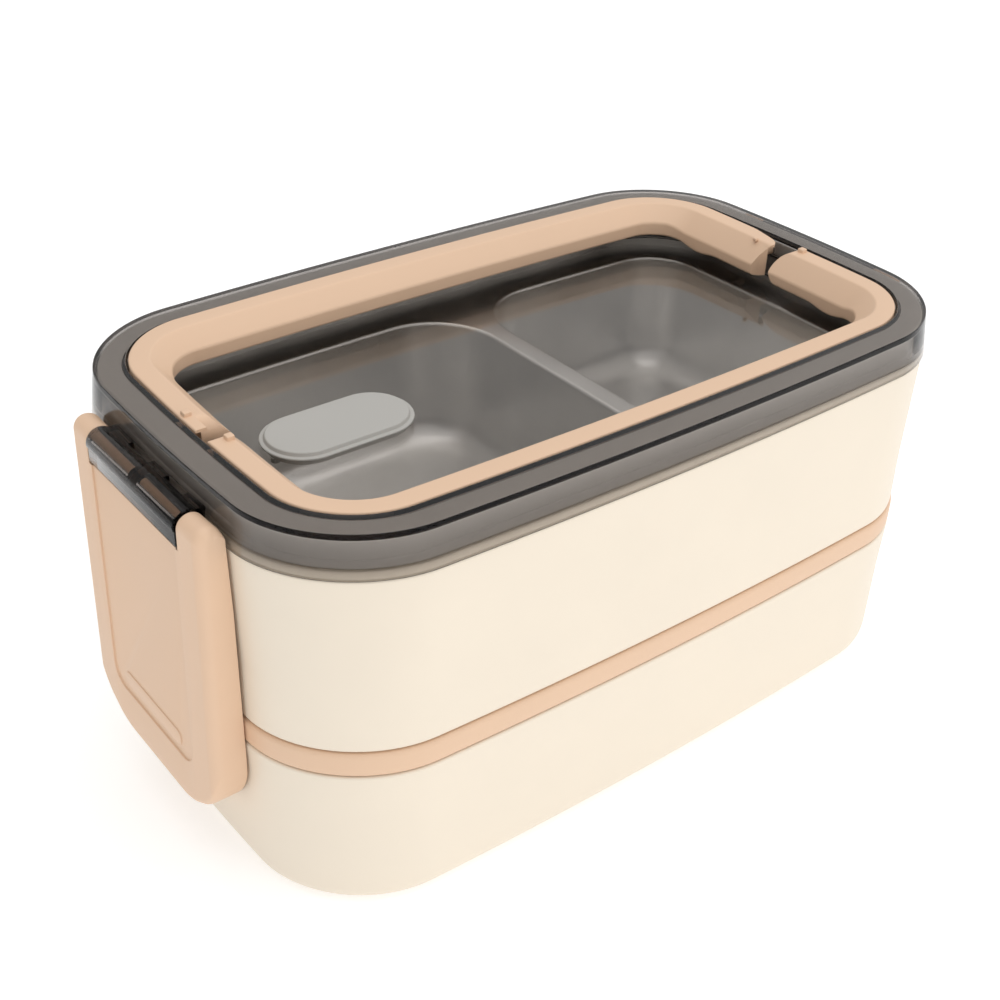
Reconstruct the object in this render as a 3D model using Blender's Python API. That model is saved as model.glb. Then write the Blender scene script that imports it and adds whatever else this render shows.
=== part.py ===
"""Two-tier bento lunch box with a smoke lid, steel liners, folding handles and end clips.

Metres, +Z up. The origin is the centre of the flat bottom, X runs along the box and
the front is at -Y. Every level and fit is worked out from the sizes below.
"""
import math

import bmesh
import bpy
from mathutils import Matrix, Vector

# Plan outline of the lid's rim: a rounded rectangle whose sides bow gently outwards
LID_LENGTH = 0.2000
LID_WIDTH = 0.1188
CORNER_RADIUS = 0.0284
LONG_BOW = 0.0031
SHORT_BOW = 0.0024

# Heights of the stack, from the bottom up
LOWER_HEIGHT = 0.0395
BAND_HEIGHT = 0.0062
UPPER_WALL_HEIGHT = 0.0447
NECK_HEIGHT = 0.0038
LID_HEIGHT = 0.0102
WELL_DEPTH = 0.0125

# Walls and fits
CLEARANCE = 0.0003
SHELL_WALL = 0.0022
LID_WALL = 0.0020
STEEL = 0.0006
PLUG_GAP = 0.0005
EDGE = 0.0007

# Side walls, measured out from or in from the rim outline
SKIRT_FLARE = 0.0016
SKIRT_WALL = 0.0021
SKIRT_OVERHANG = 0.0005
UPPER_DRAFT = 0.0005
BAND_FLARE = 0.0012
LOWER_DRAFT = 0.0008
FOOT_FILLET = 0.0050
LIP_WALL = 0.0014
LEDGE_HEIGHT = 0.0018

# Lid rim and window
RIM_EDGE = 0.0013
RIM_FLAT = 0.0058
RIM_BEVEL = 0.0007
BEVEL_DROP = 0.0007
WELL_FILLET = 0.0012

# Steel liners
LINER_AIR = 0.0015
TUB_DRAFT = 0.0020
TUB_FILLET = 0.0060
DIVIDER_X = 0.0102
DIVIDER_WIDTH = 0.0064
DIVIDER_RADIUS = 0.0195
DIVIDER_GAP = 0.0016
LINER_STEP = 0.0104

# Band cover between the tiers
COVER_PLATE = 0.0020
NEST_INSET = 0.0060
NEST_DEPTH = 0.0019
COVER_PLUG = 0.0026

# Folding handles
HANDLE_GAP = 0.0005
HANDLE_TOP = 0.0052
HANDLE_SLOPE = 0.0050
HANDLE_SLOPE_DROP = 0.0040
HANDLE_DEPTH = 0.0084
HANDLE_SUNK = 0.0001
PIVOT_Y = 0.0070
PIVOT_DROP = 0.0046
END_RADIUS = 0.0045
STOP_LIP = 0.0022
STOP_LIP_THICKNESS = 0.0020
PIVOT_PIN_RADIUS = 0.0015
PIN_CLEARANCE = 0.0004
NUB_SIDE = 0.0022
NUB_HEIGHT = 0.0014

# End clips and their hinge barrels
CLIP_WIDTH = 0.0594
CLIP_DEPTH = 0.0066
CLIP_DROP = 0.0817
CLIP_WALL = 0.0022
CLIP_CORNER = 0.0120
CLIP_BORDER = 0.0100
CLIP_SILL = 0.0140
CLIP_PANEL_DEPTH = 0.0008
CLIP_AXIS_OUT = 0.0047
CLIP_AXIS_DROP = 0.0078
BARREL_LENGTH = 0.0412
BARREL_RADIUS = 0.0034
BARREL_APRON = 0.0043
BARREL_APRON_WALL = 0.0020
BARREL_WEB = 0.0030
BARREL_CORE = 0.0040
AXLE_RADIUS = 0.0017
GRIP_LENGTH = 0.0280
GRIP_WIDTH = 0.0040
GRIP_HEIGHT = 0.0005
CATCH_WIDTH = 0.0280
CATCH_OUT = 0.0024
CATCH_HEIGHT = 0.0030
CATCH_LEVEL = 0.0294
HOOK_BITE = 0.0010
HOOK_HEIGHT = 0.0030
HOOK_GAP = 0.0005

# Silicone steam vent on the window
VENT_FROM_END = 0.0430
VENT_LENGTH = 0.0376
VENT_WIDTH = 0.0190
VENT_HEIGHT = 0.0019
VENT_ROOT = 0.0056
VENT_PLUG_RADIUS = 0.0024
VENT_STEM_RADIUS = 0.0020

# Facets
CORNER_STEPS = 7
LONG_STEPS = 4
SHORT_STEPS = 2
ROD_SIDES = 16
ARC_STEPS = 6

# Levels worked out from the heights
lower_rim = LOWER_HEIGHT
band_bottom = lower_rim + CLEARANCE
band_top = band_bottom + BAND_HEIGHT
upper_base = band_top + CLEARANCE
shoulder = upper_base + UPPER_WALL_HEIGHT
upper_rim = shoulder + NECK_HEIGHT
skirt_bottom = shoulder + CLEARANCE
rim_top = skirt_bottom + LID_HEIGHT
window_top = rim_top - WELL_DEPTH
window_bottom = window_top - LID_WALL
channel_top = rim_top - LID_WALL
ledge_drop = CLEARANCE + STEEL
ridge = window_bottom - DIVIDER_GAP

# Insets from the rim outline, positive inwards
rim_width = RIM_EDGE + RIM_FLAT + RIM_BEVEL
skirt_in = SKIRT_WALL - SKIRT_FLARE
neck_out = skirt_in + CLEARANCE
lip_in = neck_out + LIP_WALL
flange_out = lip_in + CLEARANCE
plug_out = rim_width - LID_WALL
tub_in = plug_out - PLUG_GAP
tub_out = tub_in - STEEL
shelf_in = tub_in + LINER_STEP
ledge_in = tub_out - CLEARANCE
upper_wall_top = SKIRT_OVERHANG - SKIRT_FLARE
upper_wall_foot = upper_wall_top + UPPER_DRAFT
lower_wall_top = -BAND_FLARE
lower_wall_foot = lower_wall_top + LOWER_DRAFT
seal_out = flange_out
seal_in = plug_out - 3 * CLEARANCE

for old in list(bpy.data.objects):
    bpy.data.objects.remove(old, do_unlink=True)

scene = bpy.context.scene
parts = bpy.data.collections.new("bento_lunch_box")
cutters = bpy.data.collections.new("cutters")
scene.collection.children.link(parts)
scene.collection.children.link(cutters)


def material(name, colour, roughness, metallic=0.0, transmission=0.0):
    """A Principled material with one colour, given as sRGB values from 0 to 1."""
    made = bpy.data.materials.new(name)
    made.use_nodes = True
    shader = made.node_tree.nodes["Principled BSDF"]
    linear = [c / 12.92 if c <= 0.04045 else ((c + 0.055) / 1.055) ** 2.4 for c in colour]
    shader.inputs["Base Color"].default_value = (*linear, 1.0)
    shader.inputs["Roughness"].default_value = roughness
    shader.inputs["Metallic"].default_value = metallic
    shader.inputs["Transmission Weight"].default_value = transmission
    made.diffuse_color = (*linear, 1.0)
    return made


CREAM = material("cream_plastic", (0.96, 0.91, 0.85), 0.45)
APRICOT = material("apricot_plastic", (0.90, 0.77, 0.67), 0.45)
SMOKE = material("smoke_clear_plastic", (0.47, 0.45, 0.43), 0.08, transmission=0.8)
STEEL_SHEET = material("brushed_steel", (0.75, 0.74, 0.72), 0.30, metallic=1.0)
SEAL = material("clear_grey_silicone", (0.80, 0.80, 0.78), 0.55)
VENT = material("grey_silicone", (0.72, 0.71, 0.69), 0.55)


def bowed(x, y):
    """Move a plan point with the bow of the box's sides."""
    half_length = LID_LENGTH / 2
    half_width = LID_WIDTH / 2
    return (
        x - SHORT_BOW * (x / half_length) * (y / half_width) ** 2,
        y - LONG_BOW * (y / half_width) * (x / half_length) ** 2,
    )


def spaced(start, end, steps):
    """Plan points from start up to, but without, end."""
    return [
        (start[0] + (end[0] - start[0]) * k / steps, start[1] + (end[1] - start[1]) * k / steps)
        for k in range(steps)
    ]


def arc(centre_x, centre_y, radius, start, end, steps=CORNER_STEPS):
    """Points on a circular arc, with its angles in degrees."""
    angles = [math.radians(start + (end - start) * k / steps) for k in range(steps + 1)]
    return [(centre_x + radius * math.cos(a), centre_y + radius * math.sin(a)) for a in angles]


def rounded(low_x, high_x, half_width, low_radius, high_radius):
    """A bowed rounded rectangle, anticlockwise, with its own corner radius at each end."""
    corners = [
        arc(high_x - high_radius, half_width - high_radius, high_radius, 0, 90),
        arc(low_x + low_radius, half_width - low_radius, low_radius, 90, 180),
        arc(low_x + low_radius, low_radius - half_width, low_radius, 180, 270),
        arc(high_x - high_radius, high_radius - half_width, high_radius, 270, 360),
    ]
    points = []
    for k, corner in enumerate(corners):
        steps = LONG_STEPS if k % 2 == 0 else SHORT_STEPS
        following = corners[(k + 1) % 4]
        points += corner + spaced(corner[-1], following[0], steps)[1:]
    return [bowed(x, y) for x, y in points]


def outline(inset):
    """The rim outline, moved in by an inset."""
    half_length = LID_LENGTH / 2 - inset
    radius = CORNER_RADIUS - inset
    return rounded(-half_length, half_length, LID_WIDTH / 2 - inset, radius, radius)


def compartment(side, inset):
    """The outline of one steel compartment, on the low (-1) or high (+1) side of the divider."""
    far = LID_LENGTH / 2 - inset
    half_width = LID_WIDTH / 2 - inset
    grow = inset - shelf_in
    near = DIVIDER_X + side * (DIVIDER_WIDTH / 2 + grow)
    outer = CORNER_RADIUS - inset
    inner = DIVIDER_RADIUS - grow
    if side < 0:
        return rounded(-far, near, half_width, outer, inner)
    return rounded(near, far, half_width, inner, outer)


def new_object(name, mesh, collection):
    made = bpy.data.objects.new(name, mesh)
    collection.objects.link(made)
    if collection is cutters:
        made.hide_render = True
        made.display_type = "WIRE"
    return made


def loft(name, rings, collection, loop=False):
    """A closed body through rings of points: capped at both ends, or joined end to start."""
    model = bmesh.new()
    rows = [[model.verts.new(point) for point in ring] for ring in rings]
    pairs = list(zip(rows, rows[1:]))
    if loop:
        pairs.append((rows[-1], rows[0]))
    else:
        model.faces.new(rows[0])
        model.faces.new(rows[-1])
    count = len(rows[0])
    for below, above in pairs:
        for k in range(count):
            j = (k + 1) % count
            model.faces.new((below[k], below[j], above[j], above[k]))
    bmesh.ops.recalc_face_normals(model, faces=model.faces)
    mesh = bpy.data.meshes.new(name)
    model.to_mesh(mesh)
    model.free()
    return new_object(name, mesh, collection)


def turned_box(name, profile, collection, loop=False):
    """A body whose section, a list of (inset, level), follows the box's outline all round."""
    rings = [[(x, y, level) for x, y in outline(inset)] for inset, level in profile]
    return loft(name, rings, collection, loop)


def prism(name, points, axis, start, end, collection=cutters):
    """A flat outline extruded along X, Y or Z, from a filled 2D curve made into a welded mesh.

    The outline's points are (y, z) for X, (x, z) for Y and (x, y) for Z.
    """
    curve = bpy.data.curves.new(name, "CURVE")
    curve.dimensions = "2D"
    curve.fill_mode = "BOTH"
    curve.extrude = abs(end - start) / 2
    spline = curve.splines.new("POLY")
    spline.points.add(len(points) - 1)
    for point, (p, q) in zip(spline.points, points):
        point.co = (p, q, 0.0, 1.0)
    spline.use_cyclic_u = True
    flat = bpy.data.objects.new(name + "_outline", curve)
    scene.collection.objects.link(flat)
    evaluated = flat.evaluated_get(bpy.context.evaluated_depsgraph_get())
    mesh = bpy.data.meshes.new_from_object(evaluated)
    bpy.data.objects.remove(flat, do_unlink=True)
    middle = (start + end) / 2
    place = {
        "X": Matrix(((0, 0, 1, middle), (1, 0, 0, 0), (0, 1, 0, 0), (0, 0, 0, 1))),
        "Y": Matrix(((1, 0, 0, 0), (0, 0, -1, middle), (0, 1, 0, 0), (0, 0, 0, 1))),
        "Z": Matrix.Translation((0, 0, middle)),
    }[axis]
    mesh.transform(place)
    model = bmesh.new()
    model.from_mesh(mesh)
    bmesh.ops.remove_doubles(model, verts=model.verts, dist=1e-7)
    bmesh.ops.recalc_face_normals(model, faces=model.faces)
    model.to_mesh(mesh)
    model.free()
    return new_object(name, mesh, collection)


def block(name, low, high, collection=cutters):
    """A rectangular block between two corners."""
    corners = [(low[0], low[1]), (high[0], low[1]), (high[0], high[1]), (low[0], high[1])]
    return prism(name, corners, "Z", low[2], high[2], collection)


def rod(name, radius, start, end, collection=cutters):
    """A round rod between two points."""
    start = Vector(start)
    along = Vector(end) - start
    model = bmesh.new()
    bmesh.ops.create_cone(model, cap_ends=True, segments=ROD_SIDES, radius1=radius,
                          radius2=radius, depth=along.length)
    turn = Vector((0, 0, 1)).rotation_difference(along).to_matrix().to_4x4()
    model.transform(Matrix.Translation(start + along / 2) @ turn)
    mesh = bpy.data.meshes.new(name)
    model.to_mesh(mesh)
    model.free()
    return new_object(name, mesh, collection)


def combine(body, tool, operation):
    """Cut, join or trim a body with a hidden tool shape."""
    step = body.modifiers.new(tool.name, "BOOLEAN")
    step.operation = operation
    step.solver = "EXACT"
    step.object = tool


def finish(body, finish_material, origin=(0.0, 0.0, 0.0)):
    """Give a body its material, and its origin on its joint's axis."""
    body.data.materials.append(finish_material)
    for tool in [step.object for step in body.modifiers]:
        tool.data.materials.append(finish_material)
    body.data.transform(Matrix.Translation(-Vector(origin)))
    body.location = origin
    body.data.shade_smooth()
    body.data.set_sharp_from_angle(angle=math.radians(30))


def hollow(wall_top, wall_foot, rim, floor):
    """The inside of a tier's shell: lip, ledge for the liner's flange, wall and floor."""
    ledge = rim - ledge_drop
    under = ledge - LEDGE_HEIGHT
    wall = wall_top + SHELL_WALL
    foot = wall_foot + SHELL_WALL
    return [
        (lip_in, rim),
        (lip_in, ledge),
        (ledge_in, ledge),
        (ledge_in, under),
        (wall, under - (ledge_in - wall)),
        (foot, floor + FOOT_FILLET),
        (foot + FOOT_FILLET, floor),
    ]


def quarter(inset, level, radius, start, end, steps=3):
    """A quarter round in a section, from a centre given as (inset, level)."""
    return arc(inset, level, radius, start, end, steps)


# Lower tier: cream outer shell with a catch for the clip on each end wall
lower_floor = SHELL_WALL
lower_profile = [
    *quarter(lower_wall_foot + FOOT_FILLET, FOOT_FILLET, FOOT_FILLET, 270, 180),
    (lower_wall_top, lower_rim - EDGE),
    (lower_wall_top + EDGE, lower_rim),
    *hollow(lower_wall_top, lower_wall_foot, lower_rim, lower_floor),
]
lower_shell = turned_box("lower_shell", lower_profile, parts)
catch_bottom = CATCH_LEVEL - CATCH_HEIGHT / 2
catch_top = CATCH_LEVEL + CATCH_HEIGHT / 2
catch_tip = LID_LENGTH / 2 + BAND_FLARE + CATCH_OUT
catch_root = LID_LENGTH / 2 + BAND_FLARE - SHELL_WALL
for side, label in ((-1, "left"), (1, "right")):
    catch_profile = [
        (side * catch_root, catch_bottom),
        (side * catch_tip, catch_bottom),
        (side * catch_tip, catch_top - EDGE),
        (side * (catch_tip - EDGE), catch_top),
        (side * catch_root, catch_top),
    ]
    catch = prism(f"catch_{label}", catch_profile, "Y", -CATCH_WIDTH / 2, CATCH_WIDTH / 2)
    combine(lower_shell, catch, "UNION")
finish(lower_shell, CREAM)

# Lower liner: one drawn steel tub hanging from its flange
lower_flange = lower_rim - STEEL
lower_tub_floor = lower_floor + LINER_AIR


def tub_skin(mouth, level, floor):
    """One face of a drawn tub's wall, from its mouth down to its floor."""
    foot = mouth + TUB_DRAFT
    return [
        (mouth, level),
        *quarter(foot + TUB_FILLET, floor + TUB_FILLET, TUB_FILLET, 180, 270),
    ]


lower_tub_profile = [
    *reversed(tub_skin(tub_out, lower_flange, lower_tub_floor)),
    (flange_out, lower_flange),
    (flange_out, lower_rim),
    *tub_skin(tub_in, lower_rim, lower_tub_floor + STEEL),
]
lower_liner = turned_box("lower_liner", lower_tub_profile, parts)
finish(lower_liner, STEEL_SHEET)

# Band cover: the apricot lid of the lower tier, with a nest on top for the upper tier
nest_floor = band_top - NEST_DEPTH
cover_under = nest_floor - COVER_PLATE
plug_foot = band_bottom - COVER_PLUG
cover_seal_top = band_bottom + COVER_PLATE
mid_profile = [
    (NEST_INSET + EDGE, nest_floor),
    (NEST_INSET, band_top - EDGE),
    (NEST_INSET - EDGE, band_top),
    (EDGE - BAND_FLARE, band_top),
    (-BAND_FLARE, band_top - EDGE),
    (-BAND_FLARE, band_bottom + EDGE),
    (EDGE - BAND_FLARE, band_bottom),
    (lip_in, band_bottom),
    (lip_in, cover_seal_top),
    (plug_out, cover_seal_top),
    (plug_out, plug_foot + EDGE),
    (plug_out + EDGE, plug_foot),
    (rim_width - EDGE, plug_foot),
    (rim_width, plug_foot + EDGE),
    (rim_width, cover_under),
]
mid_lid = turned_box("mid_lid", mid_profile, parts)
finish(mid_lid, APRICOT)


def seal_section(bottom, top):
    """A seal's section, with its upper inner corner cut off to clear the channel's slope."""
    return [
        (seal_out, bottom),
        (seal_in, bottom),
        (seal_in, (bottom + top) / 2),
        ((seal_in + seal_out) / 2, top),
        (seal_out, top),
    ]


mid_seal = turned_box("mid_seal", seal_section(lower_rim + CLEARANCE, cover_seal_top - CLEARANCE),
                      parts, loop=True)
finish(mid_seal, SEAL)

# Upper tier: cream outer shell with a foot that sits in the band cover's nest
foot_inset = NEST_INSET + EDGE + CLEARANCE
foot_bottom = nest_floor + CLEARANCE
upper_floor = upper_base + SHELL_WALL
upper_profile = [
    (foot_inset + EDGE, foot_bottom),
    (foot_inset, foot_bottom + EDGE),
    (foot_inset, upper_base),
    (upper_wall_foot + EDGE, upper_base),
    (upper_wall_foot, upper_base + EDGE),
    (upper_wall_top, shoulder - EDGE),
    (upper_wall_top + EDGE, shoulder),
    (neck_out, shoulder),
    (neck_out, upper_rim),
    *hollow(upper_wall_top, upper_wall_foot, upper_rim, upper_floor),
]
upper_shell = turned_box("upper_shell", upper_profile, parts)
finish(upper_shell, CREAM)

# Upper liner: one steel pressing with two compartments either side of a folded divider
upper_flange = upper_rim - STEEL
upper_tub_floor = upper_floor + LINER_AIR
mouth_profile = [
    (tub_out, ridge - STEEL),
    (tub_out, upper_flange),
    (flange_out, upper_flange),
    (flange_out, upper_rim),
    (tub_in, upper_rim),
    (tub_in, ridge),
]
upper_liner = turned_box("upper_liner", mouth_profile, parts)


def tub(name, side, skin):
    """A solid tub shape for one compartment, with the section of one face of its wall."""
    rings = [[(x, y, level) for x, y in compartment(side, inset)] for inset, level in skin]
    return loft(name, rings, cutters)


for side, label in ((-1, "left"), (1, "right")):
    outside = tub_skin(shelf_in - STEEL, ridge - STEEL / 2, upper_tub_floor)
    combine(upper_liner, tub(f"tub_{label}", side, outside), "UNION")
for side, label in ((-1, "left"), (1, "right")):
    inside = tub_skin(shelf_in, ridge + STEEL, upper_tub_floor + STEEL)
    combine(upper_liner, tub(f"hollow_{label}", side, inside), "DIFFERENCE")
finish(upper_liner, STEEL_SHEET)

# Lid: smoke clear moulding with a deep window well, a skirt and a hinge barrel at each end
lid_profile = [
    *quarter(rim_width + WELL_FILLET, window_top + WELL_FILLET, WELL_FILLET, 270, 180, 2),
    (rim_width, rim_top - BEVEL_DROP),
    (RIM_EDGE + RIM_FLAT, rim_top),
    *quarter(RIM_EDGE, rim_top - RIM_EDGE, RIM_EDGE, 90, 180),
    (-SKIRT_FLARE, skirt_bottom + CLEARANCE),
    (CLEARANCE - SKIRT_FLARE, skirt_bottom),
    (skirt_in, skirt_bottom),
    (skirt_in, upper_rim),
    (RIM_EDGE, channel_top),
    (plug_out, channel_top),
    (plug_out, window_bottom + WELL_FILLET),
    (plug_out + WELL_FILLET, window_bottom),
]
lid_shell = turned_box("lid_shell", lid_profile, parts)
axis_level = rim_top - CLIP_AXIS_DROP
axis_out = LID_LENGTH / 2 + CLIP_AXIS_OUT
barrel_half = BARREL_LENGTH / 2
bore_radius = AXLE_RADIUS + PIN_CLEARANCE
wall_root = LID_LENGTH / 2 - skirt_in + SKIRT_WALL / 2
apron_reach = math.hypot(BARREL_RADIUS, BARREL_APRON)


def apron_level(radius, out):
    """How far below the hinge axis a circle about it lies, at a distance out from the axis."""
    return math.sqrt(radius ** 2 - out ** 2)


apron_back = BARREL_RADIUS - BARREL_APRON_WALL
web_foot = skirt_bottom + CLEARANCE
web_top = web_foot + BARREL_WEB
web_meets = 180 - math.degrees(math.asin((web_top - axis_level) / BARREL_RADIUS))
web_leaves = 180 + math.degrees(math.asin((axis_level - web_foot) / BARREL_RADIUS))
for side, label in ((-1, "left"), (1, "right")):
    barrel_profile = [
        (axis_out + BARREL_RADIUS, axis_level - BARREL_APRON),
        *arc(axis_out, axis_level, BARREL_RADIUS, 0, web_meets, 2 * ARC_STEPS),
        (wall_root, web_top),
        (wall_root, web_foot),
        *arc(axis_out, axis_level, BARREL_RADIUS, web_leaves, 270, ARC_STEPS),
        (axis_out + apron_back, axis_level - BARREL_RADIUS),
        (axis_out + apron_back, axis_level - apron_level(apron_reach, apron_back)),
    ]
    barrel_profile = [(side * out, level) for out, level in barrel_profile]
    barrel = prism(f"barrel_{label}", barrel_profile, "Y", -barrel_half, barrel_half)
    combine(lid_shell, barrel, "UNION")
    for end in (-1, 1):
        inner = (side * axis_out, end * BARREL_CORE / 2, axis_level)
        outer = (side * axis_out, end * (barrel_half + CLEARANCE), axis_level)
        bore = rod(f"barrel_bore_{label}_{end}", bore_radius, inner, outer)
        combine(lid_shell, bore, "DIFFERENCE")

# Handle pivots: a hole through the well's wall for each handle's pin
handle_top = rim_top - HANDLE_SUNK
handle_out = rim_width + HANDLE_GAP
pivot_level = handle_top - PIVOT_DROP
hole_radius = PIVOT_PIN_RADIUS + PIN_CLEARANCE
hole_inner = LID_LENGTH / 2 - handle_out
hole_outer = LID_LENGTH / 2 - plug_out + 2 * CLEARANCE
for side in (-1, 1):
    for front in (-1, 1):
        start = (side * hole_inner, front * PIVOT_Y, pivot_level)
        end = (side * hole_outer, front * PIVOT_Y, pivot_level)
        combine(lid_shell, rod(f"pivot_hole_{side}_{front}", hole_radius, start, end), "DIFFERENCE")

# Steam vent: two holes in the window, for the flap's plug and for its anchor stem
vent_x = VENT_FROM_END - LID_LENGTH / 2
vent_hinge = vent_x - VENT_LENGTH / 2 + VENT_ROOT
vent_plug_x = vent_x + VENT_LENGTH / 2 - VENT_WIDTH / 2
vent_stem_x = vent_hinge - VENT_ROOT / 2
vent_bottom = window_top + CLEARANCE
vent_top = vent_bottom + VENT_HEIGHT
for name, x, radius in (
    ("vent_hole", vent_plug_x, VENT_PLUG_RADIUS),
    ("stem_hole", vent_stem_x, VENT_STEM_RADIUS),
):
    low = (x, 0.0, window_bottom - CLEARANCE)
    high = (x, 0.0, window_top + CLEARANCE)
    combine(lid_shell, rod(name, radius + PIN_CLEARANCE, low, high), "DIFFERENCE")
finish(lid_shell, SMOKE)

lid_seal = turned_box("lid_seal", seal_section(upper_rim + CLEARANCE, channel_top - CLEARANCE),
                      parts, loop=True)
finish(lid_seal, SEAL)


# Vent tab: the fixed root and the flap of one silicone moulding, cut at its living hinge
def stadium(inset):
    """The tab's plan outline: a rectangle with round ends."""
    radius = VENT_WIDTH / 2 - inset
    reach = (VENT_LENGTH - VENT_WIDTH) / 2
    return [
        *arc(vent_x + reach, 0.0, radius, -90, 90, 2 * ARC_STEPS),
        *arc(vent_x - reach, 0.0, radius, 90, 270, 2 * ARC_STEPS),
    ]


def tab(name):
    rings = [
        [(x, y, vent_bottom) for x, y in stadium(0.0)],
        [(x, y, vent_top - EDGE) for x, y in stadium(0.0)],
        [(x, y, vent_top) for x, y in stadium(EDGE)],
    ]
    return loft(name, rings, parts)


hinge_gap = CLEARANCE / 2
beyond = VENT_LENGTH
vent_flap = tab("vent_flap")
flap_trim = block("flap_trim", (vent_hinge - beyond, -VENT_WIDTH, vent_bottom - beyond),
                  (vent_hinge + hinge_gap, VENT_WIDTH, vent_top + beyond))
combine(vent_flap, flap_trim, "DIFFERENCE")
flap_plug = rod("flap_plug", VENT_PLUG_RADIUS, (vent_plug_x, 0.0, window_bottom + CLEARANCE),
                (vent_plug_x, 0.0, vent_bottom + EDGE))
combine(vent_flap, flap_plug, "UNION")
finish(vent_flap, VENT, (vent_hinge, 0.0, vent_top))

vent_anchor = tab("vent_anchor")
anchor_trim = block("anchor_trim", (vent_hinge - hinge_gap, -VENT_WIDTH, vent_bottom - beyond),
                    (vent_hinge + beyond, VENT_WIDTH, vent_top + beyond))
combine(vent_anchor, anchor_trim, "DIFFERENCE")
anchor_stem = rod("anchor_stem", VENT_STEM_RADIUS, (vent_stem_x, 0.0, window_bottom),
                  (vent_stem_x, 0.0, vent_bottom + EDGE))
combine(vent_anchor, anchor_stem, "UNION")
finish(vent_anchor, VENT)

# Handles: two U bars lying in the well, each turning on a pin at both of its ends
slope_in = handle_out + HANDLE_TOP + HANDLE_SLOPE
handle_bottom = handle_top - HANDLE_DEPTH
handle_section = [
    (handle_out + EDGE, handle_top),
    (handle_out + HANDLE_TOP, handle_top),
    (slope_in, handle_top - HANDLE_SLOPE_DROP),
    (slope_in, handle_bottom + 2 * EDGE),
    (slope_in - 2 * EDGE, handle_bottom),
    (handle_out + EDGE, handle_bottom),
    (handle_out, handle_bottom + EDGE),
    (handle_out, handle_top - EDGE),
]
end_y = PIVOT_Y - END_RADIUS


def half_outline(inset, front, start_y):
    """The half of the outline on one side, between two points at start_y on the short sides."""
    half_length = LID_LENGTH / 2 - inset
    half_width = LID_WIDTH / 2 - inset
    radius = CORNER_RADIUS - inset
    right = arc(half_length - radius, half_width - radius, radius, 0, 90)
    left = arc(radius - half_length, half_width - radius, radius, 90, 180)
    points = [
        *spaced((half_length, start_y), right[0], SHORT_STEPS),
        *right,
        *spaced(right[-1], left[0], LONG_STEPS)[1:],
        *left,
        (-half_length, start_y),
    ]
    return [bowed(x, front * y) for x, y in points]


def end_relief(name, front, lip):
    """What is cut off a handle's ends, to round them about the pivot below any stop lip."""
    top = PIVOT_DROP - STOP_LIP_THICKNESS if lip else END_RADIUS
    start = math.degrees(math.asin(top / END_RADIUS))
    beyond_y = end_y - 2 * STOP_LIP
    below = pivot_level - 2 * END_RADIUS
    crown = [(beyond_y, handle_top + EDGE), (PIVOT_Y, handle_top + EDGE)]
    points = [
        *([(beyond_y, pivot_level + top)] if lip else crown),
        *arc(PIVOT_Y, pivot_level, END_RADIUS, 180 - start, 270, 2 * ARC_STEPS),
        (PIVOT_Y, below),
        (beyond_y, below),
    ]
    reach = LID_LENGTH / 2
    return prism(name, [(front * y, z) for y, z in points], "X", -reach, reach)


for name, front, lip in (("handle_rear", 1, STOP_LIP), ("handle_front", -1, 0.0)):
    columns = [half_outline(inset, front, end_y - lip) for inset, level in handle_section]
    stations = [
        [(*columns[k][station], handle_section[k][1]) for k in range(len(handle_section))]
        for station in range(len(columns[0]))
    ]
    handle = loft(name, stations, parts)
    combine(handle, end_relief(f"{name}_relief", front, lip), "DIFFERENCE")
    for side in (-1, 1):
        inner = LID_LENGTH / 2 - handle_out - HANDLE_TOP
        outer = LID_LENGTH / 2 - plug_out - 2 * CLEARANCE
        pin = rod(f"{name}_pin_{side}", PIVOT_PIN_RADIUS,
                  (side * inner, front * PIVOT_Y, pivot_level),
                  (side * outer, front * PIVOT_Y, pivot_level))
        combine(handle, pin, "UNION")
        nub_x = side * (LID_LENGTH / 2 - handle_out - HANDLE_TOP / 2)
        half = NUB_SIDE / 2
        nub = block(f"{name}_nub_{side}",
                    (nub_x - half, front * PIVOT_Y - half, handle_top - EDGE),
                    (nub_x + half, front * PIVOT_Y + half, handle_top + NUB_HEIGHT))
        combine(handle, nub, "UNION")
    finish(handle, APRICOT, (0.0, front * PIVOT_Y, pivot_level))

# Clips: hollow apricot levers on stub axles in the lid's barrels, hooked under the catches
clip_back = axis_out - CLIP_DEPTH / 2
clip_face = axis_out + CLIP_DEPTH / 2 + CLEARANCE
clip_half = CLIP_WIDTH / 2
clip_bottom = axis_level + CLIP_DEPTH / 2 - CLIP_DROP
ear_inner = barrel_half + CLEARANCE
ear_radius = CLIP_DEPTH / 2
notch_reach = apron_reach + CLEARANCE
cavity_top = axis_level - apron_level(notch_reach, 0.0) - CLEARANCE
panel_face = clip_face - CLIP_PANEL_DEPTH
panel_bottom = clip_bottom + CLIP_SILL
panel_half = clip_half - CLIP_BORDER


def shield(half, bottom, top, radius):
    """A clip's front outline: square at the top, rounded at its lower corners."""
    return [
        (half, top),
        (-half, top),
        *arc(radius - half, bottom + radius, radius, 180, 270),
        *arc(half - radius, bottom + radius, radius, 270, 360),
    ]


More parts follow.
